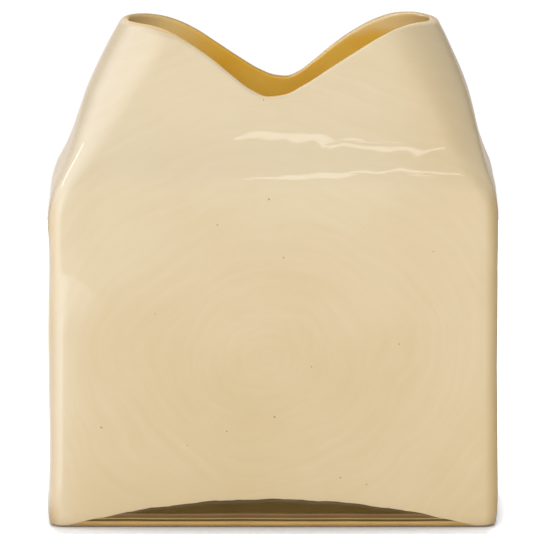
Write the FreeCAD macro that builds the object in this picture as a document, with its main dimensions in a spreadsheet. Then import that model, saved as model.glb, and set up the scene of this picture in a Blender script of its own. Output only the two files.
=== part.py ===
# Pillow vase in two fused layers of blown glass: a clear amber vessel and an opaque cream casing round it.
# Millimetres. +Z is up, the wide faces look along -Y and +Y, and the origin is the middle of the foot.
import FreeCAD, Part
import math
import os

import Sketcher

V = FreeCAD.Vector

# Every driving size, with what it measures.
SIZES = (
    ("width", 200.0, "outside width of the straight body, along X"),
    ("depth", 110.0, "outside depth of the straight body, along Y"),
    ("peak_height", 221.5, "height of the two ears of the rim"),
    ("dip_depth", 31.0, "drop of the rim from its ears to its dips"),
    ("neck_height", 45.5, "height of the neck's flat faces, from the throat to the ears"),
    ("shoulder_height", 38.0, "height of the shoulder, from the straight walls to the throat"),
    ("throat_width", 176.5, "outside width where the shoulder meets the neck"),
    ("throat_depth", 80.6, "outside depth there"),
    ("throat_lean", 1.7, "shift of the neck towards +X there"),
    ("mouth_width", 135.0, "outside width of the neck just above its ears"),
    ("mouth_depth", 57.0, "outside depth of the neck just above its ears"),
    ("mouth_lean", 3.0, "shift of the hand-opened mouth towards +X"),
    ("ear_spacing", 130.0, "distance between the tops of the two ears"),
    ("ear_radius", 38.0, "radius of the rim over each ear"),
    ("dip_radius", 15.0, "radius of the rim in each dip"),
    ("ears_middle", 2.5, "place of the middle of the two ears, along X"),
    ("dip_place", 1.3, "place of the dips along X"),
    ("corner_radius", 7.0, "outside radius of the upright corners of the body"),
    ("neck_radius", 18.0, "outside radius of the corners of the neck"),
    ("foot_radius", 3.0, "outside radius round the foot"),
    ("wall", 4.0, "thickness of both layers together"),
    ("casing", 1.2, "thickness of the cream layer"),
    ("lip_bare", 2.4, "height of bare amber glass above the cream at the lip"),
    ("inner_corner_radius", 10.0, "radius of the upright corners of the body inside"),
    ("floor_radius", 5.0, "radius between the floor and the walls inside"),
    ("base_thickness", 6.0, "thickness of the floor"),
    ("arch_height", 12.7, "height of bare amber glass at the middle of each wide face"),
    ("arch_chord", 194.0, "width of the bare arch along the foot"),
    ("foot_ring", 12.0, "width of the ground ring that the vase stands on"),
    ("kick_depth", 1.5, "rise of the underside inside that ring"),
    ("kick_slope", 4.0, "width of the sloping edge of that rise"),
    ("overrun", 4.5, "how far each cutting form runs past what it cuts"),
)

# Heights that follow from them.
DERIVED = (
    ("throat_height", "=peak_height - neck_height", "height where the shoulder ends and the neck begins"),
    ("wall_height", "=peak_height - neck_height - shoulder_height", "height of the straight walls"),
)

# Levels of the shoulder, from the straight walls up. Each has four shares: of the height up to the throat,
# of the way that the sides draw in on it, of the way that the faces do, and of the growth of the corners.
SHOULDER_SHARES = (
    (0.0, 0.0, 0.0, 0.0),
    (0.17, 0.06, 0.055, 0.0),
    (0.35, 0.22, 0.22, 0.09),
    (0.54, 0.45, 0.5, 0.45),
    (0.75, 0.71, 0.79, 0.91),
)

# Radius of both edges of the lip, as a share of the wall.
LIP_ROUND_SHARE = 0.35

# The least upright share of an edge's direction that makes it a corner of the neck.
UPRIGHT_SHARE = 0.5

QUARTER_TURN = math.pi / 2
START, END, CENTRE = range(1, 4)


def make_sheet(doc):
    """The spreadsheet of driving sizes."""
    sheet = doc.addObject("Spreadsheet::Sheet", "sizes")
    for row, (name, value, note) in enumerate(SIZES + DERIVED, start=1):
        sheet.set(f"A{row}", name)
        sheet.set(f"B{row}", str(value))
        sheet.set(f"C{row}", note)
        sheet.setAlias(f"B{row}", name)
    doc.recompute()
    return sheet


def value_of(sheet, expression):
    """What an expression over the sheet's sizes comes to, as a plain number."""
    return float(sheet.evalExpression(expression.replace("sizes.", "")))


def make_sketch(body, name, role, offset):
    """A sketch parallel to one of the body's origin planes, offset along its normal."""
    plane = next(feature for feature in body.Origin.OriginFeatures if feature.Role == role)
    sketch = body.newObject("Sketcher::SketchObject", name)
    sketch.AttachmentSupport = [(plane, "")]
    sketch.MapMode = "FlatFace"
    sketch.setExpression("AttachmentOffset.Base.z", offset)
    return sketch


def bind(sketch, kind, places, expression, sheet):
    """Adds a dimension to a sketch and ties it to the sheet."""
    constraint = Sketcher.Constraint(kind, *places, value_of(sheet, expression))
    sketch.setExpression(f"Constraints[{sketch.addConstraint(constraint)}]", expression)


def rounded_rectangle(sheet, body, name, half_width, half_depth, corner, height, shift="0"):
    """A rectangle with round corners, centred on the Z axis apart from its shift along X."""
    sketch = make_sketch(body, name, "XY_Plane", height)
    a, b, r, x = (value_of(sheet, size) for size in (half_width, half_depth, corner, shift))
    centres = ((x + a - r, b - r), (x - a + r, b - r), (x - a + r, r - b), (x + a - r, r - b))
    for turn, (cx, cy) in enumerate(centres):
        circle = Part.Circle(V(cx, cy, 0), V(0, 0, 1), r)
        sketch.addGeometry(Part.ArcOfCircle(circle, turn * QUARTER_TURN, (turn + 1) * QUARTER_TURN), False)
    for turn in range(4):
        following = (turn + 1) % 4
        ends = (sketch.Geometry[turn].EndPoint, sketch.Geometry[following].StartPoint)
        line = sketch.addGeometry(Part.LineSegment(*ends), False)
        sketch.addConstraint(Sketcher.Constraint("Tangent", turn, END, line, START))
        sketch.addConstraint(Sketcher.Constraint("Tangent", line, END, following, START))
        sketch.addConstraint(Sketcher.Constraint("Vertical" if turn % 2 else "Horizontal", line))
    for turn in range(1, 4):
        sketch.addConstraint(Sketcher.Constraint("Equal", 0, turn))
    top, left, bottom, right = range(4, 8)
    bind(sketch, "Radius", (0,), corner, sheet)
    bind(sketch, "DistanceX", (-1, START, right, START), f"{shift} + {half_width}", sheet)
    bind(sketch, "DistanceX", (-1, START, left, START), f"{shift} - {half_width}", sheet)
    bind(sketch, "DistanceY", (-1, START, top, START), half_depth, sheet)
    bind(sketch, "DistanceY", (-1, START, bottom, START), f"-{half_depth}", sheet)
    return sketch


def neck_form(sheet, body, inset):
    """The neck from the throat up: flat faces that lean inwards and meet in round corners."""
    plane = next(feature for feature in body.Origin.OriginFeatures if feature.Role == "XY_Plane")
    wedge = body.newObject("PartDesign::AdditiveWedge", f"{body.Name}_wedge")
    wedge.AttachmentSupport = [(plane, "")]
    wedge.MapMode = "FlatFace"
    wedge.AttachmentOffset = FreeCAD.Placement(V(0, 0, 0), FreeCAD.Rotation(V(1, 0, 0), 90))
    limits = {
        "Ymin": "sizes.throat_height",
        "Ymax": "sizes.peak_height + sizes.overrun",
        "Xmin": f"sizes.throat_lean - sizes.throat_width / 2 + {inset}",
        "Xmax": f"sizes.throat_lean + sizes.throat_width / 2 - {inset}",
        "Zmin": f"{inset} - sizes.throat_depth / 2",
        "Zmax": f"sizes.throat_depth / 2 - {inset}",
        "X2min": f"sizes.mouth_lean - sizes.mouth_width / 2 + {inset}",
        "X2max": f"sizes.mouth_lean + sizes.mouth_width / 2 - {inset}",
        "Z2min": f"{inset} - sizes.mouth_depth / 2",
        "Z2max": f"sizes.mouth_depth / 2 - {inset}",
    }
    for limit, expression in limits.items():
        wedge.setExpression(limit, expression)
    body.Document.recompute()
    corners = [
        f"Edge{number}"
        for number, edge in enumerate(wedge.Shape.Edges, start=1)
        if abs(edge.tangentAt(edge.FirstParameter).z) > UPRIGHT_SHARE
    ]
    neck = body.newObject("PartDesign::Fillet", f"{body.Name}_neck")
    neck.Base = (wedge, corners)
    neck.setExpression("Radius", f"sizes.neck_radius - {inset}")
    body.Document.recompute()
    return neck


def vessel_form(sheet, name, bottom, inset, corner):
    """The vase's outside, or a form some way inside it: neck, shoulder and straight walls."""
    body = sheet.Document.addObject("PartDesign::Body", name)
    neck = neck_form(sheet, body, inset)
    levels = []
    for number, (rise, side, face, growth) in enumerate(SHOULDER_SHARES):
        level = rounded_rectangle(
            sheet,
            body,
            f"{name}_level_{number}",
            f"(sizes.width / 2 - {side} * (sizes.width - sizes.throat_width) / 2 - {inset})",
            f"(sizes.depth / 2 - {face} * (sizes.depth - sizes.throat_depth) / 2 - {inset})",
            f"({corner} + {growth} * (sizes.neck_radius - {inset} - {corner}))",
            f"sizes.wall_height + {rise} * (sizes.throat_height - sizes.wall_height)",
            f"{side} * sizes.throat_lean",
        )
        levels.append(level)
    body.Document.recompute()
    heights = [face.BoundBox.ZMax for face in neck.Shape.Faces]
    shoulder = body.newObject("PartDesign::AdditiveLoft", f"{name}_shoulder")
    shoulder.Profile = (neck, [f"Face{heights.index(min(heights)) + 1}"])
    shoulder.Sections = levels[::-1]
    shoulder.Ruled = True
    body.Document.recompute()
    walls = body.newObject("PartDesign::Pad", f"{name}_walls")
    walls.Profile = levels[0]
    walls.Reversed = True
    walls.setExpression("Length", f"sizes.wall_height - {bottom}")
    body.Document.recompute()
    return body


def round_bottom(sheet, body, name, radius):
    """Rounds the edges round the lowest face of a body."""
    base = body.Tip
    ceiling = base.Shape.BoundBox.ZMin + value_of(sheet, radius)
    edges = [
        f"Edge{number}"
        for number, edge in enumerate(base.Shape.Edges, start=1)
        if edge.BoundBox.ZMax < ceiling
    ]
    fillet = body.newObject("PartDesign::Fillet", name)
    fillet.Base = (base, edges)
    fillet.setExpression("Radius", radius)
    body.Document.recompute()


def raise_underside(sheet, body):
    """Lifts the underside inside the ground ring, with a sloping edge."""
    sections = []
    for level, (inset, height) in enumerate(
        (("sizes.foot_ring", "0"), ("(sizes.foot_ring + sizes.kick_slope)", "sizes.kick_depth"))
    ):
        section = rounded_rectangle(
            sheet,
            body,
            f"underside_{level}",
            f"(sizes.width / 2 - {inset})",
            f"(sizes.depth / 2 - {inset})",
            "sizes.corner_radius",
            height,
        )
        sections.append(section)
    kick = body.newObject("PartDesign::SubtractiveLoft", "underside_kick")
    kick.Profile = sections[0]
    kick.Sections = sections[1:]
    kick.Ruled = True
    body.Document.recompute()


def rim_slopes(run_left, run_right, drop, reach):
    """The slopes of the two straight falls that run tangent to the arcs of ear and dip."""
    slopes = []
    for run in (run_left, run_right):
        span = math.hypot(run, reach - drop)
        slopes.append(math.asin(reach / span) - math.atan2(reach - drop, run))
    return slopes


def rim_profile(sheet, body, name, drop):
    """The space over the rim, seen from the front: two ears and a dip of tangent arcs and lines, closed above."""
    sketch = make_sketch(body, name, "XZ_Plane", "0")
    peak = f"(sizes.peak_height - {drop})"
    dip = f"({peak} - sizes.dip_depth)"
    dip_place = "sizes.dip_place"
    left_ear = "(sizes.ears_middle - sizes.ear_spacing / 2)"
    right_ear = "(sizes.ears_middle + sizes.ear_spacing / 2)"
    left_side = "(-sizes.width / 2)"
    right_side = "(sizes.width / 2)"
    ceiling = "(sizes.peak_height + 2 * sizes.overrun)"

    z_peak, z_dip, z_top = (value_of(sheet, size) for size in (peak, dip, ceiling))
    x_left, x_dip, x_right = (value_of(sheet, size) for size in (left_ear, dip_place, right_ear))
    x_low, x_high = (value_of(sheet, size) for size in (left_side, right_side))
    ear, bowl = sheet.ear_radius, sheet.dip_radius
    fall, climb = rim_slopes(x_dip - x_left, x_right - x_dip, z_peak - z_dip, ear + bowl)

    def arc(x, z, radius, first, last):
        return Part.ArcOfCircle(Part.Circle(V(x, z, 0), V(0, 0, 1), radius), first, last)

    def line(*corners):
        return Part.LineSegment(*(V(x, z, 0) for x, z in corners))

    left_arc = arc(x_left, z_peak - ear, ear, QUARTER_TURN - fall, QUARTER_TURN)
    dip_arc = arc(x_dip, z_dip + bowl, bowl, -QUARTER_TURN - fall, climb - QUARTER_TURN)
    right_arc = arc(x_right, z_peak - ear, ear, QUARTER_TURN, QUARTER_TURN + climb)
    pieces = (
        line((x_low, z_top), (x_low, z_peak)),
        line((x_low, z_peak), (x_left, z_peak)),
        left_arc,
        Part.LineSegment(left_arc.StartPoint, dip_arc.StartPoint),
        dip_arc,
        Part.LineSegment(dip_arc.EndPoint, right_arc.EndPoint),
        right_arc,
        line((x_right, z_peak), (x_high, z_peak)),
        line((x_high, z_peak), (x_high, z_top)),
        line((x_high, z_top), (x_low, z_top)),
    )
    for piece in pieces:
        sketch.addGeometry(piece, False)
    wall_1, ledge_1, ear_1, slope_1, bottom, slope_2, ear_2, ledge_2, wall_2, lid = range(len(pieces))
    joins = (
        ("Coincident", wall_1, END, ledge_1, START),
        ("Tangent", ledge_1, END, ear_1, END),
        ("Tangent", ear_1, START, slope_1, START),
        ("Tangent", slope_1, END, bottom, START),
        ("Tangent", bottom, END, slope_2, START),
        ("Tangent", slope_2, END, ear_2, END),
        ("Tangent", ear_2, START, ledge_2, START),
        ("Coincident", ledge_2, END, wall_2, START),
        ("Coincident", wall_2, END, lid, START),
        ("Coincident", lid, END, wall_1, START),
        ("Horizontal", ledge_1),
        ("Horizontal", ledge_2),
        ("Horizontal", lid),
        ("Vertical", wall_1),
        ("Vertical", wall_2),
    )
    for join in joins:
        sketch.addConstraint(Sketcher.Constraint(*join))
    bind(sketch, "Radius", (ear_1,), "sizes.ear_radius", sheet)
    bind(sketch, "Radius", (ear_2,), "sizes.ear_radius", sheet)
    bind(sketch, "Radius", (bottom,), "sizes.dip_radius", sheet)
    bind(sketch, "DistanceX", (-1, START, ear_1, CENTRE), left_ear, sheet)
    bind(sketch, "DistanceX", (-1, START, ear_2, CENTRE), right_ear, sheet)
    bind(sketch, "DistanceX", (-1, START, bottom, CENTRE), dip_place, sheet)
    bind(sketch, "DistanceX", (-1, START, wall_1, START), left_side, sheet)
    bind(sketch, "DistanceX", (-1, START, wall_2, START), right_side, sheet)
    bind(sketch, "DistanceY", (-1, START, ledge_1, START), peak, sheet)
    bind(sketch, "DistanceY", (-1, START, ledge_2, START), peak, sheet)
    bind(sketch, "DistanceY", (-1, START, bottom, CENTRE), f"{dip} + sizes.dip_radius", sheet)
    bind(sketch, "DistanceY", (-1, START, lid, START), ceiling, sheet)
    return sketch


def rim_form(sheet, name, drop):
    """Everything above the rim, or above a line some way below it."""
    body = sheet.Document.addObject("PartDesign::Body", name)
    space = body.newObject("PartDesign::Pad", f"{name}_space")
    space.Profile = rim_profile(sheet, body, f"{name}_profile", drop)
    space.Midplane = True
    space.setExpression("Length", "sizes.throat_depth + 2 * sizes.overrun")
    sheet.Document.recompute()
    return body


def arch_form(doc):
    """A cylinder lying along Y, whose top is the arch of bare glass on both wide faces."""
    radius = "((sizes.arch_chord / 2) ^ 2 + sizes.arch_height ^ 2) / (2 * sizes.arch_height)"
    arch = doc.addObject("Part::Cylinder", "arch_form")
    arch.Placement = FreeCAD.Placement(V(0, 0, 0), FreeCAD.Rotation(V(1, 0, 0), 90))
    arch.setExpression("Radius", radius)
    arch.setExpression("Height", "sizes.depth + 2 * sizes.overrun")
    arch.setExpression("Placement.Base.y", "sizes.depth / 2 + sizes.overrun")
    arch.setExpression("Placement.Base.z", f"sizes.arch_height - {radius}")
    return arch


def cut(name, base, tool):
    """One form with another taken away."""
    feature = base.Document.addObject("Part::Cut", name)
    feature.Base = base
    feature.Tool = tool
    base.Document.recompute()
    return feature


def round_lip(sheet, base):
    """Rounds both edges of the rim, as a flame leaves them."""
    radius = LIP_ROUND_SHARE * sheet.wall
    lowest = sheet.peak_height - sheet.dip_depth - sheet.overrun
    uses = {}
    for face in base.Shape.Faces:
        u_first, u_last, v_first, v_last = face.ParameterRange
        normal = face.normalAt((u_first + u_last) / 2, (v_first + v_last) / 2)
        if face.BoundBox.ZMin > lowest and normal.z > abs(normal.x):
            for edge in face.Edges:
                uses[edge.hashCode()] = uses.get(edge.hashCode(), 0) + 1
    fillet = base.Document.addObject("Part::Fillet", "rounded_shell")
    fillet.Base = base
    fillet.Edges = [
        (number, radius, radius)
        for number, edge in enumerate(base.Shape.Edges, start=1)
        if uses.get(edge.hashCode()) == 1
    ]
    base.Document.recompute()
    return fillet


def check(doc, nodes):
    """Stops if any object failed or any sub-part isn't one sound solid."""
    for item in doc.Objects:
        if {"Invalid", "Error"} & set(item.State):
            raise RuntimeError(f"{item.Label} failed: {item.State}")
    for node in nodes:
        shape = node.Shape
        if shape.isNull() or not shape.isValid() or len(shape.Solids) != 1:
            raise RuntimeError(f"{node.Label} isn't one sound solid")


def main():
    doc = FreeCAD.newDocument("pillow_vase")
    sheet = make_sheet(doc)

    outside = vessel_form(sheet, "outside", "0", "0", "sizes.corner_radius")
    round_bottom(sheet, outside, "rounded_foot", "sizes.foot_radius")
    raise_underside(sheet, outside)
    inside = vessel_form(sheet, "inside", "sizes.base_thickness", "sizes.wall", "sizes.inner_corner_radius")
    round_bottom(sheet, inside, "rounded_floor", "sizes.floor_radius")
    core_corner = "(sizes.corner_radius - sizes.casing)"
    core = vessel_form(sheet, "core", "(-sizes.overrun)", "sizes.casing", core_corner)

    above_lip = rim_form(sheet, "above_lip", "0")
    above_casing = rim_form(sheet, "above_casing", "sizes.lip_bare")
    arch = arch_form(doc)

    hollow = cut("hollow", outside, inside)
    shell = round_lip(sheet, cut("open_shell", hollow, above_lip))
    layer = cut("outer_layer", outside, core)
    open_layer = cut("open_layer", layer, above_casing)
    casing = cut("cream_casing", open_layer, arch)
    vessel = cut("amber_vessel", shell, casing)

    nodes = (vessel, casing)
    for node in nodes:
        node.Placement = FreeCAD.Placement(V(0, 0, 0), FreeCAD.Rotation())
    doc.recompute()
    check(doc, nodes)
    os.makedirs("parts", exist_ok=True)
    for node in nodes:
        node.Shape.exportStep(f"parts/{node.Label}.step")
        print(f"{node.Label}: {node.Shape.Volume:.0f} cubic millimetres")
    return doc


main()
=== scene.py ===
import math

import bpy
import numpy as np
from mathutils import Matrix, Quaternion, Vector


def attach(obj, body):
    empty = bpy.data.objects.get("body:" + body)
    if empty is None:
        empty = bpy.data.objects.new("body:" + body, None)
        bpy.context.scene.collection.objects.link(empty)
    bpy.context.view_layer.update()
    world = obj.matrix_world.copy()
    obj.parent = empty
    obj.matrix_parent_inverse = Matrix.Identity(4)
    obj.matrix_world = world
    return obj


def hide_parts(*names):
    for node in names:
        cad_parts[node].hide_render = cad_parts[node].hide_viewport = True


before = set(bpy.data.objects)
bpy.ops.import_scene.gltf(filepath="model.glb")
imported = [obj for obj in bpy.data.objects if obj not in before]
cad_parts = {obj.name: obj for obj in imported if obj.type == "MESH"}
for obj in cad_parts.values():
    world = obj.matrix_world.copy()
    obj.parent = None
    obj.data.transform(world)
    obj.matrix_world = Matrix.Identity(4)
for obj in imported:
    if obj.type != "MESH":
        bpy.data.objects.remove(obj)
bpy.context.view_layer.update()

MM = 0.001

# The outside at each height: height, half width, half depth, corner radius, shift along X, bow of the faces.
OUTSIDE = (
    (0, 100.0, 55.0, 7.0, 0.0, 0.7),
    (70, 100.0, 55.0, 7.0, 0.0, 0.7),
    (138, 100.0, 55.0, 7.0, 0.0, 0.8),
    (142, 99.7, 54.87, 7.1, 0.2, 0.9),
    (146, 99.0, 54.58, 7.4, 0.4, 1.0),
    (150, 97.9, 53.91, 8.0, 0.5, 1.1),
    (154, 96.2, 52.69, 9.2, 0.7, 1.3),
    (158, 94.5, 50.91, 10.8, 0.9, 1.6),
    (162, 93.0, 48.77, 12.4, 1.1, 1.9),
    (166, 91.7, 46.55, 14.0, 1.3, 2.1),
    (170, 90.5, 44.47, 15.6, 1.5, 2.3),
    (174, 89.4, 42.59, 17.0, 1.6, 2.4),
    (178, 88.3, 40.92, 18.4, 1.8, 2.5),
    (182, 87.1, 39.45, 19.6, 1.9, 2.6),
    (186, 85.9, 38.15, 20.7, 2.0, 2.7),
    (190, 84.5, 36.99, 21.7, 2.1, 2.7),
    (196, 82.1, 35.44, 22.9, 2.3, 2.8),
    (204, 78.5, 33.59, 24.2, 2.5, 2.8),
    (212, 74.7, 31.86, 25.2, 2.7, 2.8),
    (221.5, 69.8, 29.84, 26.0, 2.9, 2.8),
    (230, 65.3, 28.0, 26.0, 3.1, 2.8),
)
BODY_CORNER = 7.0
NECK_CORNER = 26.0
LEAST_CORNER = 0.4
SIDE_BOW = 0.5  # bow of the narrow sides, as a share of the wide faces' bow

# Height of the lip along X, at the front and at the back.
LIP_FRONT = (
    (-90, 220.8), (-66, 220.4), (-59, 219.8), (-52, 218.6), (-45, 216.8), (-36, 212.6), (-27, 206.7),
    (-18, 199.5), (-10, 193.6), (-2, 190.4), (5, 191.2), (14, 195.5), (26, 203.0), (38, 210.4),
    (48, 216.3), (56, 219.8), (64, 221.3), (72, 221.0), (90, 220.6),
)
LIP_BACK = (
    (-90, 221.2), (-66, 221.0), (-59, 220.4), (-50, 218.6), (-42, 215.9), (-34, 211.8), (-26, 206.4),
    (-16, 199.5), (-6, 193.2), (1, 190.4), (6, 189.9), (11, 191.7), (18, 197.0), (27, 204.8), (36, 211.4),
    (46, 216.9), (55, 219.9), (64, 220.9), (73, 220.3), (90, 219.8),
)
LIP_ROUND = 1.8  # height of the lip's rounding
LIP_POWER = 2.4  # how square that rounding is
LIP_GUESS = 215.0  # where the search for the lip's height starts, and how many rounds it takes
LIP_ROUNDS = 24

# The front lip leans out at the left ear: how far, where, how wide, and over what depth it fades.
BEVEL_RISE = 2.0
BEVEL_X = -53
BEVEL_WIDTH = 13
BEVEL_FADE = 12

WALL = 4.0
CASING = 1.2
FOOT_RADIUS = 3.0
INNER_CORNER = 10.0
FLOOR = 6.0
FLOOR_RADIUS = 5.0
RING = 12.0
KICK_SLOPE = 4.0
KICK = 1.5
FLOOR_SHARES = (0.15, 0.4, 0.7, 0.9)

# The arch where the cream stops, and how its edge wanders: size, waves along X in radians per mm, start.
ARCH_HEIGHT = 12.6
ARCH_HALF_CHORD = 92.5
ARCH_PLACE = -1.0
ARCH_BASE = 8.0  # height at which the columns' places are read
ARCH_WAVES = ((0.18, 0.21, 1.0), (0.12, 0.47, 2.0), (0.06, 1.13, 0.0))
WANDER_START = 1.5
WANDER_RUN = 3
FACING_START = 0.35
FACING_RUN = 0.5
CASING_FOOT = 0.6  # the cream's least height over the table

# Under the casing the vessel's outside lies a little inside the cream, so that it is hidden there.
UNDER_CASING = 0.8
GROOVE_RISE = 0.3  # height over which it goes in, above the cream's lower edge
SEAM = 0.15  # overlap of the two layers at the lip
TUCK = 0.5  # how far they run on under each other there
EDGE_DROP = 0.35  # drop from the cream's top edge to its inner face
CASING_EDGE = 0.5  # rounding of the cream's lower edge

# Waves of the hand-blown wall: size in mm, waves along X, Y and Z in radians per mm, start.
WAVES = (
    (0.12, 0.081, 0.043, 0.052, 0.4),
    (0.10, -0.047, 0.090, 0.074, 1.9),
    (0.08, 0.124, -0.060, 0.101, 3.1),
    (0.06, 0.031, 0.112, -0.142, 5.2),
    (0.035, 0.190, 0.081, 0.176, 2.4),
    (0.014, 0.310, 0.150, -0.290, 0.9),
    (0.009, -0.420, 0.210, 0.460, 4.1),
)
WAVES_FADE = 12  # height below which they fade out

# How finely the surfaces are divided: steps round each corner and along each face, and rows of each
# stretch, which change at the middle height.
CORNERS = ((1, 1), (-1, 1), (-1, -1), (1, -1))
CORNER_STEPS = 14
FACE_STEPS = 72
SIDE_STEPS = 20
MIDDLE_HEIGHT = 150.0
AMBER_ROWS = {"foot": 12, "low": 26, "high": 36, "lip": 12, "inside_high": 34, "inside_low": 24, "fillet": 7}
CREAM_ROWS = {"low": 34, "high": 40, "edge": 7, "inside_high": 24, "inside_low": 18, "foot": 6}

# The glass. Colours are linear; clearness is the share of light that passes.
GLASS_IOR = 1.5
SMOOTHEST = 0.02  # least roughness
WALL_CLEARNESS = 0.05
FOOT_CLEARNESS = 0.50
CREAM_DEEP = (0.672, 0.508, 0.268)
CREAM_PALE = (0.785, 0.658, 0.452)
CREAM_CORNER_BROWN = (0.62, 0.43, 0.20)
SEED_BROWN = (0.32, 0.17, 0.07)
AMBER_DEEP = (0.82, 0.465, 0.050)
AMBER_LIGHT = (0.87, 0.565, 0.105)
AMBER_PALE = (0.90, 0.72, 0.39)
# Painted shade on the lip's crest.
AMBER_CREST_SHADE = (0.42, 0.25, 0.06)
FOOT_CLOUD = (0.84, 0.82, 0.76)
WHITE = (1.0, 1.0, 1.0)

# The oval swirl in the cream, in metres: its middle, how far its width counts, and its drift. Cords and
# strokes are waves per metre across it; strokes are long, and keep off the swirl's very heart.
SWIRL_X = -0.002
SWIRL_Z = 0.075
SWIRL_PRESS = 0.86
SWIRL_DRIFT = 0.03
SWIRL_HEART = 0.004
CORD_WAVES = 950.0
STROKE_WAVES = 330.0
STROKE_LENGTH = 0.42

# Dark seeds in the cream: X, Z and radius.
SEEDS = (
    (-1.7, 147.3, 0.45), (-24.5, 135.9, 0.35), (4.8, 121.3, 0.4), (0.8, 49.8, 0.5), (-76, 45, 0.45),
    (30, 22.5, 0.4), (41.6, 19.5, 0.35), (17.1, 72.4, 0.35), (56, 82.5, 0.35), (-4.1, 189.2, 0.35),
    (-20.4, 43.4, 0.35), (-52, 96, 0.25), (71, 124, 0.3), (-38, 37, 0.25),
)

# The foot's painted bands by height, up to the top of its ramp: painted light in the lowest strip,
# painted highlights and dark lines above it, and painted shade where the dark inside shows through.
FOOT_TOP = 14.0
FOOT_PAINTED_BANDS = (
    (0.0, (1.00, 0.58, 0.18)),
    (2.6, (1.00, 0.70, 0.27)),
    (3.1, (0.16, 0.10, 0.02)),
    (3.6, (0.20, 0.13, 0.03)),
    (4.0, (0.95, 0.72, 0.32)),
    (4.4, (0.30, 0.20, 0.06)),
    (5.3, (0.32, 0.18, 0.07)),
    (5.9, (0.48, 0.30, 0.14)),
    (6.4, (0.19, 0.12, 0.022)),
    (14.0, (0.16, 0.105, 0.018)),
)

# Where the painted light inside the right ear begins and turns the amber pale: X and height. The ramp
# that holds them runs over 80 mm of X and gives heights as a share of 250 mm.
PALE_FROM = ((0.5, 191.0), (14, 193.5), (24, 201.2), (34, 206.8), (44, 209.5), (56, 209.5), (72, 205.0))
PALE_REACH = 80
PALE_SPAN = 250

# Soft boxes that light the vase and don't show in it: name, place, target, size, power in watts.
SOFT_BOXES = (
    ("key", (-1.5, -1.4, 1.6), (0, 0, 0.1), (1.4, 1.4), 4.5),
    ("fill", (0.0, -3.0, 1.15), (0, 0, 0.1), (1.6, 0.9), 50.5),
    ("back", (0.0, 1.7, 2.2), (0, 0, 0.1), (1.6, 0.8), 45),
)
# Small lamps for the highlights on the neck, with their roll in degrees.
STREAKS = (
    ("streak_left", (0.038, -1.159, 1.176), (0.019, -0.044, 0.172), (0.20, 0.08), 0.15, 50),
    ("streak_right", (0.149, -1.055, 1.279), (0.063, -0.046, 0.165), (0.15, 0.042), 0.058, 24),
)
GLINT = ("glint", (-1.19, 0.55, 1.154), (-0.09, -0.045, 0.158), (0.4, 0.09), 0.55)

# The table, and its colours for light, for the camera and in reflections.
TABLE_RADIUS = 0.85
TABLE_STEPS = 96
TABLE_DROP = 0.0002
TABLE_WHITE = (0.92, 0.92, 0.92)
TABLE_SEEN = (1.36, 1.40, 1.49)
TABLE_MIRRORED = (0.88, 0.97, 1.10)
CONTACT_REACH = 0.03  # how far the contact shadow reaches
WARM_WHITE = (1.0, 0.88, 0.74)  # the room straight behind the vase, in reflections

CAMERA_DISTANCE = 5.0
CAMERA_TILT = 9.0
CAMERA_TARGET = (-0.00254, 0.0, 0.1084)
CAMERA_REACH = 60.0
SENSOR = 36.0
VIEW_WIDTH = 0.2388  # what the frame takes in at the vase


def smooth_curve(points):
    """A curve through the points that never swings past them."""
    x, y = (np.array(column, float) for column in zip(*points))
    step = np.diff(x)
    slope = np.diff(y) / step
    before, after = slope[:-1], slope[1:]
    both = np.where(before + after == 0, 1, before + after)
    tangent = np.zeros_like(y)
    tangent[1:-1] = np.where(before * after > 0, 2 * before * after / both, 0)
    tangent[0], tangent[-1] = slope[0], slope[-1]

    def value(at):
        at = np.clip(at, x[0], x[-1])
        i = np.clip(np.searchsorted(x, at) - 1, 0, len(step) - 1)
        t = (at - x[i]) / step[i]
        return (
            (1 + 2 * t) * (1 - t) ** 2 * y[i]
            + t * (1 - t) ** 2 * step[i] * tangent[i]
            + t * t * (3 - 2 * t) * y[i + 1]
            + t * t * (t - 1) * step[i] * tangent[i + 1]
        )

    return value


half_width, half_depth, corner_radius, lean, bow = (
    smooth_curve([(row[0], row[column]) for row in OUTSIDE]) for column in range(1, 6)
)
lip_front = smooth_curve(LIP_FRONT)
lip_back = smooth_curve(LIP_BACK)


def round_columns():
    """The columns of the walls, once round: place of the corner's centre, and direction from it."""
    columns = []
    for turn, (ux, uy) in enumerate(CORNERS):
        for step in range(CORNER_STEPS):
            angle = (turn + step / CORNER_STEPS) * math.pi / 2
            columns.append((ux, uy, math.cos(angle), math.sin(angle)))
        steps = SIDE_STEPS if turn % 2 else FACE_STEPS
        vx, vy = CORNERS[(turn + 1) % len(CORNERS)]
        angle = (turn + 1) * math.pi / 2
        for step in range(steps):
            share = step / steps
            x, y = ux + (vx - ux) * share, uy + (vy - uy) * share
            columns.append((x, y, math.cos(angle), math.sin(angle)))
    return np.array(columns).T


UX, UY, DX, DY = round_columns()


def waviness(x, y, z):
    """How far the hand-blown wall stands out of its true form, in mm."""
    total = sum(size * np.sin(a * x + b * y + c * z + start) for size, a, b, c, start in WAVES)
    return total * np.clip(z / WAVES_FADE, 0, 1)


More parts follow.
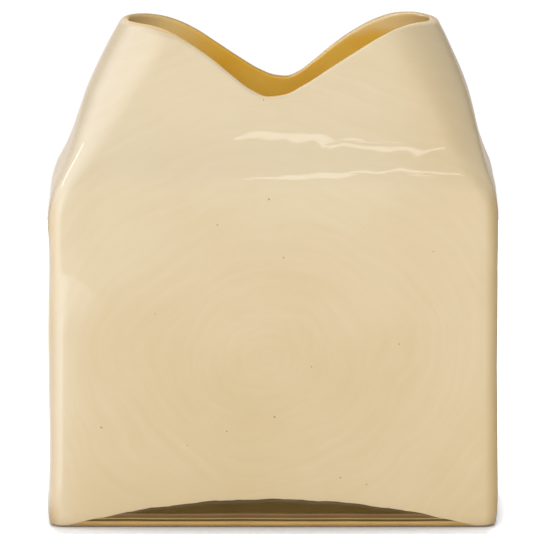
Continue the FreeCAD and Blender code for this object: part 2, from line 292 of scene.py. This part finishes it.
def wall_points(z, inset, inner=False):
    """Points of a form that lies some way inside the outside, for a height and inset at each column."""
    a = half_width(z) - inset
    b = half_depth(z) - inset
    r = corner_radius(z)
    if inner:
        share = np.clip((r - BODY_CORNER) / (NECK_CORNER - BODY_CORNER), 0, 1)
        r = INNER_CORNER * (1 - share) + (NECK_CORNER - WALL) * share + WALL - inset
    else:
        r = r - inset
    r = np.clip(r, LEAST_CORNER, None)
    x = UX * (a - r) + DX * r
    y = UY * (b - r) + DY * r
    y = y * (1 - bow(z) / half_depth(z) * (x / half_width(z)) ** 2)
    x = x * (1 - SIDE_BOW * bow(z) / half_width(z) * (y / half_depth(z)) ** 2)
    x = x + lean(z)
    swell = waviness(x, y, z)
    return np.stack([x + DX * swell, y + DY * swell, z + 0 * x], axis=-1)


def ring_of(z, inset, inner=False):
    """The same, where the height or the inset may also be one number."""
    z = np.full(UX.shape, float(z)) if np.ndim(z) == 0 else z
    inset = np.full(UX.shape, float(inset)) if np.ndim(inset) == 0 else inset
    return wall_points(z, inset, inner)


def lip_heights(inset):
    """Height of the lip over each column of a form that lies some way inside the outside."""
    z = np.full(UX.shape, LIP_GUESS)
    for _ in range(LIP_ROUNDS):
        point = ring_of(z, inset)
        share = np.clip(point[:, 1] / half_depth(z) * 0.5 + 0.5, 0, 1)
        share = share * share * (3 - 2 * share)
        target = lip_front(point[:, 0]) * (1 - share) + lip_back(point[:, 0]) * share
        z = 0.5 * z + 0.5 * target
    return z


def foot_inset(z):
    """How far the rounding of the foot takes the outside in."""
    below = np.clip(FOOT_RADIUS - z, 0, FOOT_RADIUS)
    return FOOT_RADIUS - np.sqrt(np.clip(FOOT_RADIUS ** 2 - below ** 2, 0, None))


def casing_foot():
    """Height of the cream's lower edge over each column: an arch on each wide face."""
    x = ring_of(ARCH_BASE, 0.0)[:, 0]
    radius = (ARCH_HALF_CHORD ** 2 + ARCH_HEIGHT ** 2) / (2 * ARCH_HEIGHT)
    along = x - ARCH_PLACE
    arch = ARCH_HEIGHT - radius + np.sqrt(radius ** 2 - np.clip(np.abs(along), 0, radius - 1) ** 2)
    wander = sum(size * np.sin(waves * x + start) for size, waves, start in ARCH_WAVES)
    wandering = arch + wander * np.clip((arch - WANDER_START) / WANDER_RUN, 0, 1)
    arch = np.where(arch > WANDER_START, wandering, arch)
    facing = np.clip((np.abs(DY) - FACING_START) / FACING_RUN, 0, 1)
    return CASING_FOOT + np.clip(arch - CASING_FOOT, 0, None) * facing


LIP = lip_heights(0.0)
LIP_INSIDE = lip_heights(WALL)
CREAM_TOP = LIP - LIP_ROUND
CREAM_FOOT = casing_foot()


def lip_bevel():
    """How much higher the lip stands inside than outside: the front lip leans out at the left ear."""
    lip = ring_of(LIP, 0.0)
    front = np.clip(-lip[:, 1] / BEVEL_FADE, 0, 1)
    return front * BEVEL_RISE * np.exp(-(((lip[:, 0] - BEVEL_X) / BEVEL_WIDTH) ** 2))


LIP_BEVEL = lip_bevel()


def lip_rise(inset):
    """Height of the rounded lip over its springing, some way in from the outside."""
    return LIP_ROUND * math.sqrt(max(0.0, 1 - abs(1 - 2 * inset / WALL) ** LIP_POWER))


def lip_ring(inset):
    """The lip's rounded crest, some way in from the outside."""
    crest = CREAM_TOP + (LIP_INSIDE - LIP + LIP_BEVEL) * inset / WALL
    return ring_of(crest + lip_rise(inset), inset)


def quarter(step, steps):
    """A share of a quarter turn."""
    return 0.5 * math.pi * step / steps


def strip(low, high, shares):
    """Rows of heights between two rows, or between a row and one height."""
    return [low + (high - low) * share for share in shares]


def shares_of(count, start=0):
    return [step / count for step in range(start, count + 1)]


def shrunk(ring, z, shares):
    """Rings that close a flat floor towards its middle."""
    middle = ring.mean(axis=0)
    made = []
    for share in shares:
        inner = middle + (ring - middle) * share
        inner[:, 2] = z
        made.append(inner)
    return made


def amber_rings():
    """The vessel's surface from the middle of the underside out, up, over the lip and down to the floor.

    Also gives the rows that are the bare glass of the foot.
    """
    rows = AMBER_ROWS
    edge = ring_of(0.0, FOOT_RADIUS + RING + KICK_SLOPE)
    rings = shrunk(edge, KICK, (*FLOOR_SHARES, 1.0))
    rings.append(ring_of(KICK * 0.5, FOOT_RADIUS + RING + KICK_SLOPE * 0.5))
    rings.append(ring_of(0.0, FOOT_RADIUS + RING))
    rings.append(ring_of(0.0, FOOT_RADIUS + RING * 0.5))
    foot = CREAM_FOOT
    climb = [1 - math.cos(quarter(step, rows["foot"])) for step in range(rows["foot"] + 1)]
    bare = len(rings) + len(climb)
    outside = [(z, 0.0) for z in strip(0 * foot, foot, climb)]
    outside += [(foot + GROOVE_RISE * 0.4, UNDER_CASING * 0.5), (foot + GROOVE_RISE, UNDER_CASING)]
    hidden = strip(foot + GROOVE_RISE, MIDDLE_HEIGHT, shares_of(rows["low"], 1))
    hidden += strip(MIDDLE_HEIGHT, CREAM_TOP + lip_rise(CASING) - TUCK, shares_of(rows["high"], 1))
    outside += [(z, UNDER_CASING) for z in hidden]
    rings += [ring_of(z, inset + foot_inset(z)) for z, inset in outside]
    for step in range(rows["lip"] + 1):
        rings.append(lip_ring(CASING - SEAM + (WALL - CASING + SEAM) * math.sin(quarter(step, rows["lip"]))))
    floor_edge = FLOOR + FLOOR_RADIUS
    inside = strip(LIP_INSIDE + LIP_BEVEL - LIP_ROUND, MIDDLE_HEIGHT, shares_of(rows["inside_high"], 1))
    inside += strip(MIDDLE_HEIGHT, floor_edge, shares_of(rows["inside_low"], 1))
    rings += [ring_of(z, WALL, inner=True) for z in inside]
    for step in range(1, rows["fillet"] + 1):
        angle = quarter(step, rows["fillet"])
        inset = WALL + FLOOR_RADIUS * (1 - math.cos(angle))
        rings.append(ring_of(floor_edge - FLOOR_RADIUS * math.sin(angle), inset, inner=True))
    rings += shrunk(rings[-1], FLOOR, FLOOR_SHARES[::-1])
    return rings, range(bare)


def cream_rings():
    """The casing's surface: up outside, over its top edge, down inside and under its foot."""
    rows = CREAM_ROWS
    foot = CREAM_FOOT + CASING_EDGE
    outside = strip(foot, MIDDLE_HEIGHT, shares_of(rows["low"]))
    outside += strip(MIDDLE_HEIGHT, CREAM_TOP, shares_of(rows["high"], 1))
    rings = [ring_of(z, foot_inset(z)) for z in outside]
    for step in range(1, rows["edge"] + 1):
        rings.append(lip_ring((CASING - SEAM) * (1 - math.cos(quarter(step, rows["edge"])))))
    rings.append(ring_of(CREAM_TOP + lip_rise(CASING) - EDGE_DROP, CASING))
    inside = strip(CREAM_TOP - TUCK, MIDDLE_HEIGHT, shares_of(rows["inside_high"]))
    inside += strip(MIDDLE_HEIGHT, foot, shares_of(rows["inside_low"], 1))
    rings += [ring_of(z, foot_inset(z) + CASING) for z in inside]
    half = CASING / 2
    for step in range(1, rows["foot"]):
        angle = math.pi * step / rows["foot"]
        z = foot - CASING_EDGE * math.sin(angle)
        rings.append(ring_of(z, foot_inset(z) + half + half * math.cos(angle)))
    return rings


def new_piece(name, vertices, faces):
    """An object at the origin, with its place in its mesh."""
    mesh = bpy.data.meshes.new(name)
    mesh.from_pydata(vertices, [], faces)
    piece = bpy.data.objects.new(name, mesh)
    bpy.context.scene.collection.objects.link(piece)
    return piece


def build_mesh(name, rings, closed_loop=False, caps=False, second=()):
    """A closed mesh from rings of points that follow each other; some rows take the second material."""
    rings = np.array(rings) * MM
    rows, columns, _ = rings.shape
    vertices = rings.reshape(-1, 3).tolist()
    faces = []
    kinds = []
    for row in range(rows if closed_loop else rows - 1):
        low, high = row * columns, (row + 1) % rows * columns
        for column in range(columns):
            following = (column + 1) % columns
            faces.append((low + column, low + following, high + following, high + column))
            kinds.append(int(row in second))
    if caps:
        vertices += [ring.mean(axis=0).tolist() for ring in (rings[0], rings[-1])]
        first_middle = rows * columns
        end = (rows - 1) * columns
        for column in range(columns):
            following = (column + 1) % columns
            faces.append((following, column, first_middle))
            faces.append((end + column, end + following, first_middle + 1))
            kinds += [int(0 in second), int(rows - 1 in second)]
    piece = new_piece(name, vertices, faces)
    for polygon, kind in zip(piece.data.polygons, kinds):
        polygon.use_smooth = True
        polygon.material_index = kind
    piece.data.update()
    return piece


class Nodes:
    """The node tree of a material or of the world while it is made."""

    def __init__(self, owner, output):
        owner.use_nodes = True
        self.owner = owner
        self.tree = owner.node_tree
        self.tree.nodes.clear()
        self.output = self.add(output)

    def add(self, kind, **settings):
        """A node with its properties and inputs set; an input's name has _ in place of a space."""
        node = self.tree.nodes.new(kind)
        for key, value in settings.items():
            if hasattr(node, key):
                setattr(node, key, value)
            else:
                node.inputs[key.replace("_", " ")].default_value = value
        return node

    def link(self, value, socket):
        """Joins an output to an input, or sets the input to a number or a colour."""
        if isinstance(value, (int, float)):
            socket.default_value = value
        elif isinstance(value, tuple):
            socket.default_value = (*value, 1)
        else:
            self.tree.links.new(value, socket)

    def finish(self, shader):
        self.link(shader, self.output.inputs["Surface"])
        return self.owner

    def place(self, kind="Object"):
        return self.add("ShaderNodeTexCoord").outputs[kind]

    def split(self, vector):
        """The X, Y and Z of a vector."""
        node = self.add("ShaderNodeSeparateXYZ")
        self.link(vector, node.inputs[0])
        return node.outputs

    def math(self, operation, *values):
        node = self.add("ShaderNodeMath", operation=operation)
        for value, socket in zip(values, node.inputs):
            self.link(value, socket)
        return node.outputs[0]

    def total(self, first, *others):
        for other in others:
            first = self.math("ADD", first, other)
        return first

    def product(self, first, *others):
        for other in others:
            first = self.math("MULTIPLY", first, other)
        return first

    def vector_math(self, operation, vector, by=None):
        node = self.add("ShaderNodeVectorMath", operation=operation)
        self.link(vector, node.inputs[0])
        if by is not None:
            node.inputs[1].default_value = by
        return node.outputs["Value" if operation == "LENGTH" else "Vector"]

    def step(self, value, start, end, low=0.0, high=1.0, kind="SMOOTHSTEP"):
        """Low where the value is at start, high where it is at end, and a soft step between."""
        node = self.add("ShaderNodeMapRange", interpolation_type=kind)
        self.link(value, node.inputs["Value"])
        for name, number in (("From Min", start), ("From Max", end), ("To Min", low), ("To Max", high)):
            node.inputs[name].default_value = number
        return node.outputs["Result"]

    def noise(self, place, **settings):
        node = self.add("ShaderNodeTexNoise", **settings)
        self.link(place, node.inputs["Vector"])
        return node.outputs["Fac"]

    def ramp(self, value, stops):
        """A colour by value, from stops of a position and a colour."""
        node = self.add("ShaderNodeValToRGB")
        elements = node.color_ramp.elements
        while len(elements) < len(stops):
            elements.new(0.5)
        for element, (position, _) in zip(elements, stops):
            element.position = position
        for element, (_, colour) in zip(elements, stops):
            element.color = (*colour, 1)
        self.link(value, node.inputs["Fac"])
        return node.outputs["Color"]

    def mix(self, share, first, second, blend_type="MIX"):
        """The first colour, with a share of the second."""
        node = self.add("ShaderNodeMix", data_type="RGBA", blend_type=blend_type)
        self.link(share, node.inputs["Factor"])
        self.link(first, node.inputs[6])
        self.link(second, node.inputs[7])
        return node.outputs[2]

    def mix_shaders(self, share, first, second):
        node = self.add("ShaderNodeMixShader")
        for value, socket in zip((share, first, second), node.inputs):
            self.link(value, socket)
        return node.outputs[0]

    def gloss(self, shader, roughness_by, roughest, height, **bump):
        """Gives a shader its roughness, by a noise, and its fine relief."""
        roughness = self.step(roughness_by, 0.0, 1.0, SMOOTHEST, roughest, kind="LINEAR")
        self.link(roughness, shader.inputs["Roughness"])
        node = self.add("ShaderNodeBump", **bump)
        self.link(height, node.inputs["Height"])
        self.link(node.outputs["Normal"], shader.inputs["Normal"])


def cream_swirl(nodes, place, x, z):
    """The oval swirl that blowing leaves in the cream: distance from its middle, cords and strokes."""
    across = nodes.product(nodes.math("SUBTRACT", x, SWIRL_X), SWIRL_PRESS)
    rise = nodes.math("SUBTRACT", z, SWIRL_Z)
    radius = nodes.math("SQRT", nodes.total(nodes.product(across, across), nodes.product(rise, rise)))
    drift = nodes.noise(place, Scale=16.0, Detail=2.0)
    radius = nodes.total(radius, nodes.product(drift, SWIRL_DRIFT))
    cords = nodes.math("SINE", nodes.product(radius, CORD_WAVES))
    cords = nodes.product(cords, nodes.noise(place, Scale=30.0, Detail=3.0))
    # Noise that changes fast with the distance and slowly with the direction.
    turn = nodes.add("ShaderNodeCombineXYZ")
    stretch = nodes.product(nodes.math("MAXIMUM", radius, SWIRL_HEART), STROKE_LENGTH)
    nodes.link(nodes.product(radius, STROKE_WAVES), turn.inputs["X"])
    nodes.link(nodes.math("DIVIDE", across, stretch), turn.inputs["Y"])
    nodes.link(nodes.math("DIVIDE", rise, stretch), turn.inputs["Z"])
    strokes = nodes.noise(turn.outputs[0], Scale=1.0, Detail=3.0, Roughness=0.6)
    return radius, cords, strokes


def cream_material():
    """Opaque cream glass: fine cords in an oval swirl, soft clouds of colour, gloss and a few seeds."""
    nodes = Nodes(bpy.data.materials.new("cream_glass_looks"), "ShaderNodeOutputMaterial")
    place = nodes.place()
    x, y, z = nodes.split(place)
    radius, cords, strokes = cream_swirl(nodes, place, x, z)

    # How pale the cream is: paler upwards, partly its own tone and partly painted light from above; paler
    # away from the swirl's middle; a painted highlight along the left border; painted shade on the right of
    # the neck.
    clouds = nodes.noise(place, Scale=22.0, Detail=4.0, Roughness=0.55)
    level = nodes.total(
        nodes.product(clouds, 0.45),
        nodes.product(cords, 0.03),
        nodes.product(strokes, 0.30),
        nodes.step(z, 0.0, 0.19, 0.18, 0.49),
        nodes.step(radius, 0.03, 0.10, -0.25, -0.12),
    )
    # Painted shade: the cream turns browner on the right of the neck, where the light falls off.
    painted_shade_right = nodes.product(nodes.step(x, 0.035, 0.085, 0.0, 0.30), nodes.step(z, 0.10, 0.18, 0.12))
    level = nodes.math("SUBTRACT", level, painted_shade_right)
    # Painted highlight: the left border is drawn paler, where the light from the left falls.
    level = nodes.total(level, nodes.step(x, -0.078, -0.098, 0.0, 0.24))
    colour = nodes.ramp(level, ((0.1, CREAM_DEEP), (0.9, CREAM_PALE)))

    # The cream is browner down the four upright corners.
    near_side = nodes.step(nodes.math("ABSOLUTE", x), 0.0935, 0.0995)
    near_face = nodes.step(nodes.math("ABSOLUTE", y), 0.0470, 0.0520)
    colour = nodes.mix(nodes.product(near_side, near_face, 0.85), colour, CREAM_CORNER_BROWN)

    seeds = None
    for seed_x, seed_z, size in SEEDS:
        away = nodes.vector_math("SUBTRACT", place, (seed_x * MM, 0, seed_z * MM))
        away = nodes.vector_math("LENGTH", nodes.vector_math("MULTIPLY", away, (1, 0, 1)))
        seed = nodes.math("LESS_THAN", away, size * MM)
        seeds = seed if seeds is None else nodes.math("MAXIMUM", seeds, seed)
    colour = nodes.mix(nodes.product(seeds, 0.6), colour, SEED_BROWN)

    shader = nodes.add("ShaderNodeBsdfPrincipled", IOR=GLASS_IOR)
    nodes.link(colour, shader.inputs["Base Color"])
    smear = nodes.noise(place, Scale=9.0, Detail=2.0)
    ripple = nodes.noise(place, Scale=45.0, Detail=2.0, Roughness=0.4)
    relief = nodes.total(ripple, nodes.product(cords, 0.02))
    nodes.gloss(shader, smear, 0.06, relief, Strength=0.22, Distance=0.0007)
    return nodes.finish(shader.outputs["BSDF"])


def amber_material(name, low, high, clearness):
    """Amber glass, fire-polished, with soft clouds and faint ripples in it; its colour is set after."""
    nodes = Nodes(bpy.data.materials.new(name), "ShaderNodeOutputMaterial")
    place = nodes.place()
    shader = nodes.add("ShaderNodeBsdfPrincipled", IOR=GLASS_IOR, Transmission_Weight=clearness)
    tint = nodes.noise(place, Scale=38.0, Detail=5.0, Roughness=0.6)
    cloud = nodes.ramp(tint, ((0.3, low), (0.7, high)))
    ripple = nodes.noise(place, Scale=60.0, Detail=2.0)
    nodes.gloss(shader, tint, 0.08, ripple, Strength=0.2, Distance=0.0005)
    nodes.finish(shader.outputs["BSDF"])
    return nodes, place, cloud, shader.inputs["Base Color"]


def foot_material():
    """The bare glass of the foot, half clear, with painted light, highlights and shade in bands by height.
    """
    nodes, place, cloud, base = amber_material("amber_foot_looks", FOOT_CLOUD, WHITE, FOOT_CLEARNESS)
    z = nodes.split(place)["Z"]
    wander = nodes.math("SUBTRACT", nodes.noise(place, Scale=26.0, Detail=3.0), 0.5)
    height = nodes.total(nodes.product(z, 1 / (FOOT_TOP * MM)), nodes.product(wander, 0.05))
    # Painted light and shade: bands by height for the lit strip, the highlight lines and the dark inside.
    cords = nodes.ramp(height, [(level / FOOT_TOP, colour) for level, colour in FOOT_PAINTED_BANDS])
    nodes.link(nodes.mix(1.0, cords, cloud, "MULTIPLY"), base)
    return nodes.owner


def wall_material():
    """The amber layer over the cream, as it shows inside the mouth and on the lip.

    Nearly opaque; paler inside the right ear, as painted light, and towards the left ear; painted shade in
    brown on the upward-facing crest of the lip at the back.
    """
    nodes, place, cloud, base = amber_material(
        "amber_wall_looks", AMBER_DEEP, AMBER_LIGHT, WALL_CLEARNESS
    )
    x, y, z = nodes.split(place)
    stops = [(at / PALE_REACH, (height / PALE_SPAN,) * 3) for at, height in PALE_FROM]
    start = nodes.ramp(nodes.product(x, 1 / (PALE_REACH * MM)), stops)
    over = nodes.math("SUBTRACT", nodes.product(z, 1 / (PALE_SPAN * MM)), start)
    # Painted light: pale amber inside the right ear, where light reaches in; paler also towards the left
    # ear.
    right = nodes.product(nodes.step(over, -0.004, 0.022, 0.0, 0.72), nodes.step(x, 0.006, 0.030))
    left = nodes.step(x, -0.022, -0.056, 0.0, 0.75)
    colour = nodes.mix(nodes.total(right, left), cloud, AMBER_PALE)
    upward = nodes.split(nodes.place("Normal"))["Z"]
    at_back = nodes.step(y, -0.004, 0.004, 0.35)
    # Painted shade: a brown edge on the upward-facing crest of the lip at the back.
    crest = nodes.product(nodes.step(upward, 0.30, 0.85), at_back, nodes.step(z, 0.15, 0.16), 0.85)
    nodes.link(nodes.mix(crest, colour, AMBER_CREST_SHADE), base)
    return nodes.owner


def floor_material():
    """A white table that keeps the vase's soft shadow.

    The camera sees it nearly white, with painted light that whitens it beside the vase and a painted
    contact shadow where it meets the foot. Light that it throws back is plain, and reflections see a
    painted glow of their own: bright on the left, dim in front.
    """
    nodes = Nodes(bpy.data.materials.new("sweep"), "ShaderNodeOutputMaterial")
    x, y, _ = nodes.split(nodes.place())
    matt = nodes.add("ShaderNodeBsdfDiffuse")
    nodes.link(TABLE_WHITE, matt.inputs["Color"])
    nearness = nodes.add("ShaderNodeAmbientOcclusion", samples=16, Distance=CONTACT_REACH)
    # Painted contact shadow from ambient occlusion, and painted light beside the vase.
    contact = nodes.step(nearness.outputs["AO"], 0.50, 0.80, 0.66, kind="LINEAR")
    beside = nodes.step(nodes.math("ABSOLUTE", x), 0.094, 0.106, 0.0, 0.45)
    white = nodes.add("ShaderNodeVectorMath", operation="SCALE")
    white.inputs[0].default_value = TABLE_SEEN
    nodes.link(nodes.total(contact, beside), white.inputs["Scale"])
    seen = nodes.add("ShaderNodeBsdfDiffuse")
    nodes.link(white.outputs[0], seen.inputs["Color"])
    mirrored = nodes.add("ShaderNodeEmission")
    nodes.link(TABLE_MIRRORED, mirrored.inputs["Color"])
    left = nodes.step(x, -0.085, -0.19, 0.0, 3.2)
    front = nodes.step(y, -0.06, -0.24, 0.20, 0.42)
    nodes.link(nodes.total(left, front), mirrored.inputs["Strength"])
    path = nodes.add("ShaderNodeLightPath").outputs
    surface = nodes.mix_shaders(path["Is Camera Ray"], matt.outputs[0], seen.outputs[0])
    return nodes.finish(nodes.mix_shaders(path["Is Glossy Ray"], surface, mirrored.outputs[0]))


def make_floor():
    """A round white table."""
    turns = [2 * math.pi * step / TABLE_STEPS for step in range(TABLE_STEPS)]
    ring = [(TABLE_RADIUS * math.cos(turn), TABLE_RADIUS * math.sin(turn), 0) for turn in turns]
    floor = new_piece("table", ring, [tuple(range(TABLE_STEPS))])
    floor.data.materials.append(floor_material())
    floor.location.z = -TABLE_DROP


def make_world():
    """A soft white room, brighter on the left; white to the camera and through clear glass.

    Reflections see their own levels: bright on the left, behind and above, dim on the right, and warmer
    and dimmer straight behind the vase, so that its edges don't turn grey.
    """
    world = bpy.data.worlds.new("studio")
    bpy.context.scene.world = world
    nodes = Nodes(world, "ShaderNodeOutputWorld")
    path = nodes.add("ShaderNodeLightPath").outputs
    glossy = path["Is Glossy Ray"]
    x, y, z = nodes.split(nodes.place("Generated"))
    room = nodes.product(nodes.step(x, -1.0, 1.0, 1.08, 0.60), 0.42)
    glow = nodes.product(nodes.step(x, -0.75, -0.10, 3.4, 0.0), nodes.step(y, 0.1, 0.75, 1.0, 0.0))
    gloss = nodes.total(nodes.step(z, -0.05, 0.6, 0.38, 0.85), glow, nodes.step(y, -0.2, 0.6, 0.0, 0.44))
    gloss = nodes.math("SUBTRACT", gloss, nodes.step(x, 0.1, 0.8, 0.0, 0.65))
    rear = nodes.product(nodes.step(x, -0.04, 0.10, 0.0, 0.30), nodes.step(y, 0.6, 0.95))
    gloss = nodes.math("SUBTRACT", gloss, rear)
    lighting = nodes.product(room, nodes.math("SUBTRACT", 1.0, glossy))
    clear = nodes.math("MAXIMUM", path["Is Camera Ray"], path["Is Transmission Ray"])
    strength = nodes.math("MAXIMUM", nodes.total(lighting, nodes.product(gloss, glossy)), clear)
    behind = nodes.product(nodes.step(y, 0.5, 0.95), glossy)
    light = nodes.add("ShaderNodeBackground")
    nodes.link(nodes.mix(behind, WHITE, WARM_WHITE), light.inputs["Color"])
    nodes.link(strength, light.inputs["Strength"])
    nodes.finish(light.outputs[0])


def make_lamp(name, place, target, size, power, roll=0.0):
    """A soft box that looks at a point, turned about its own axis by some degrees."""
    lamp = bpy.data.lights.new(name, "AREA")
    lamp.shape = "RECTANGLE"
    lamp.size, lamp.size_y = size
    lamp.energy = power
    holder = bpy.data.objects.new(name, lamp)
    bpy.context.scene.collection.objects.link(holder)
    holder.location = place
    holder.rotation_mode = "QUATERNION"
    facing = (Vector(target) - Vector(place)).to_track_quat("-Z", "Y")
    holder.rotation_quaternion = facing @ Quaternion((0, 0, 1), math.radians(roll))
    return holder


def make_camera():
    """The photograph's view: a long lens, level with the vase and tilted 9 degrees down."""
    tilt = math.radians(CAMERA_TILT)
    camera = bpy.data.cameras.new("camera")
    camera.sensor_width = SENSOR
    camera.lens = SENSOR * CAMERA_DISTANCE / VIEW_WIDTH
    camera.clip_end = CAMERA_REACH
    holder = bpy.data.objects.new("camera", camera)
    bpy.context.scene.collection.objects.link(holder)
    target = Vector(CAMERA_TARGET)
    holder.location = target + Vector((0, -math.cos(tilt), math.sin(tilt))) * CAMERA_DISTANCE
    holder.rotation_mode = "QUATERNION"
    holder.rotation_quaternion = (target - holder.location).to_track_quat("-Z", "Y")
    bpy.context.scene.camera = holder


make_camera()
make_world()
make_floor()
for box in SOFT_BOXES:
    make_lamp(*box).visible_glossy = False
for streak in STREAKS:
    make_lamp(*streak)
make_lamp(*GLINT).visible_diffuse = False

rings, bare = amber_rings()
amber = build_mesh("amber_vessel_glass", rings, caps=True, second=bare)
cream = build_mesh("cream_casing_glass", cream_rings(), closed_loop=True)
amber.data.materials.append(wall_material())
amber.data.materials.append(foot_material())
cream.data.materials.append(cream_material())
for piece, node, finish in (
    (amber, "amber_vessel", "amber_glass"),
    (cream, "cream_casing", "cream_glass"),
):
    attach(piece, "root")
    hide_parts(node)

bpy.context.scene.view_settings.view_transform = "Standard"
